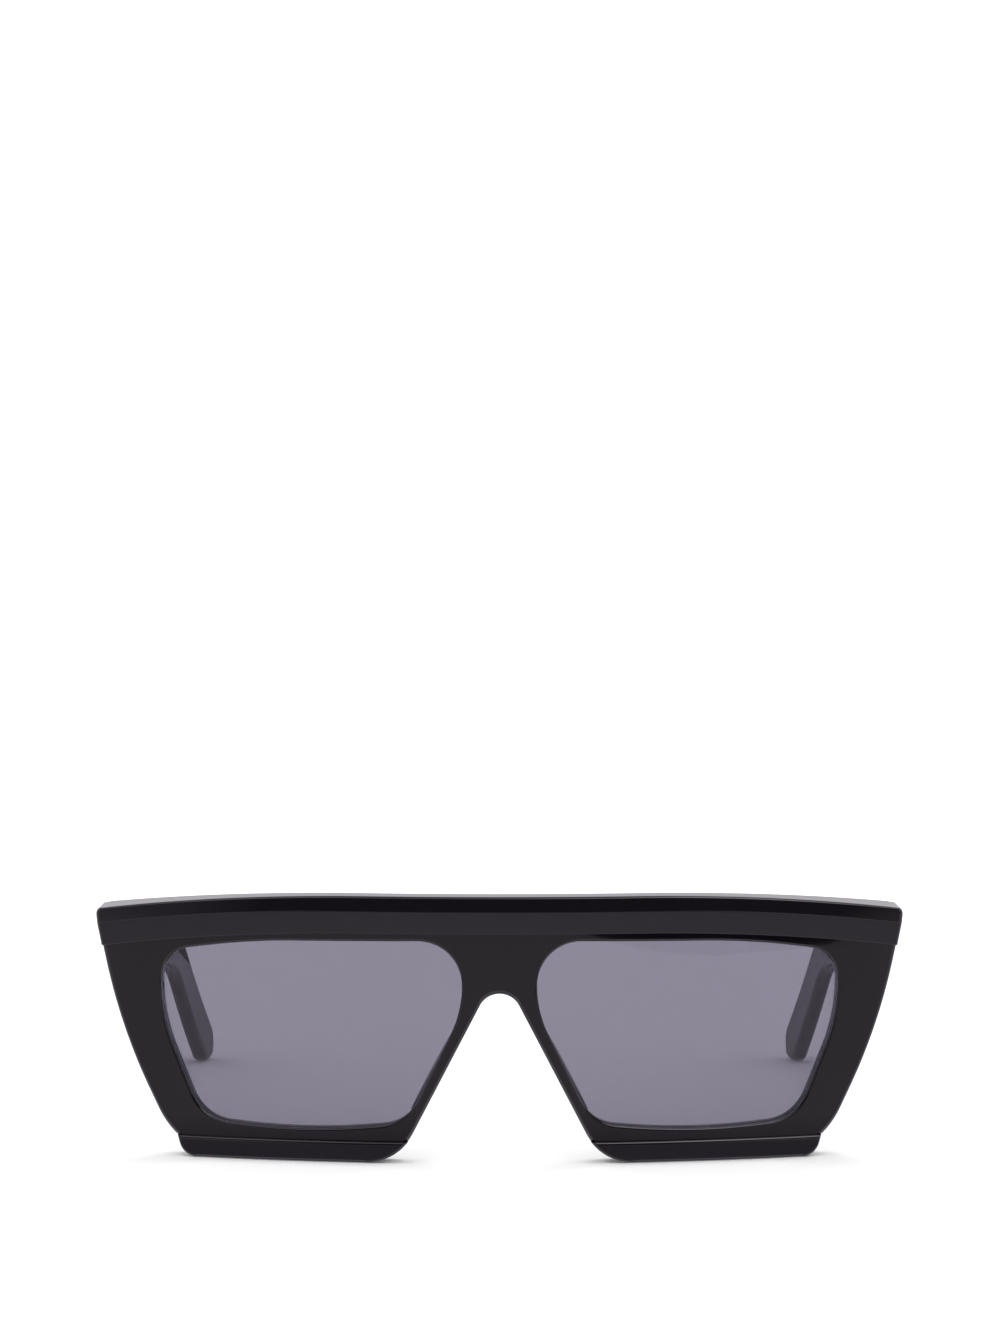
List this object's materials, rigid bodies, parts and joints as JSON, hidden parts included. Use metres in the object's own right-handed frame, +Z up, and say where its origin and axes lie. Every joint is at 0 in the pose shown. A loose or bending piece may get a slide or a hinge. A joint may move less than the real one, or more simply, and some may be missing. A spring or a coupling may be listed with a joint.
{
  "type": "geometric sunglasses",
  "caption": "Flat-top geometric sunglasses with a thick curved front, faceted brow bar, ledges under the eyes, smoked lenses and folding arms.",
  "frame": {"origin": "middle of the ground that the folded-out glasses cover, on the table under them", "axes": "+X towards the right-hand end of the front as a viewer facing the glasses sees it, -Y out of the face, +Y towards the ears, +Z up"},
  "size_m": [0.149, 0.147, 0.0488],
  "materials": {
    "black_acetate": "tumbled and polished black cellulose acetate",
    "smoke_lens": "polished grey-violet sunglass lens",
    "hinge_steel": "satin stamped nickel-silver hinge leaves",
    "screw_steel": "polished slotted screw",
    "core_steel": "drawn metal core wire, hidden in the arm"
  },
  "bodies": {
    "front": {"front_frame": "black_acetate", "brow_bar": "black_acetate", "ledge_left": "black_acetate", "ledge_right": "black_acetate", "lens_left": "smoke_lens", "lens_right": "smoke_lens", "nose_pad_left": "black_acetate", "nose_pad_right": "black_acetate", "end_block_left": "black_acetate", "end_block_right": "black_acetate", "hinge_front_left": "hinge_steel", "hinge_front_right": "hinge_steel", "hinge_screw_left": "screw_steel", "hinge_screw_right": "screw_steel"},
    "left_arm": {"hinge_arm_left": "hinge_steel", "arm_left": "black_acetate", "core_left": "core_steel"},
    "right_arm": {"hinge_arm_right": "hinge_steel", "arm_right": "black_acetate", "core_right": "core_steel"}
  },
  "joints": [
    {"name": "fold_left", "type": "hinge", "parent": "front", "child": "left_arm", "pos_m": [-0.06591, -0.04632, 0.03715], "axis": [0, 0, -1], "range_deg": [0, 88.5]},
    {"name": "fold_right", "type": "hinge", "parent": "front", "child": "right_arm", "pos_m": [0.06591, -0.04632, 0.03715], "axis": [0, 0, 1], "range_deg": [0, 82]}
  ]
}
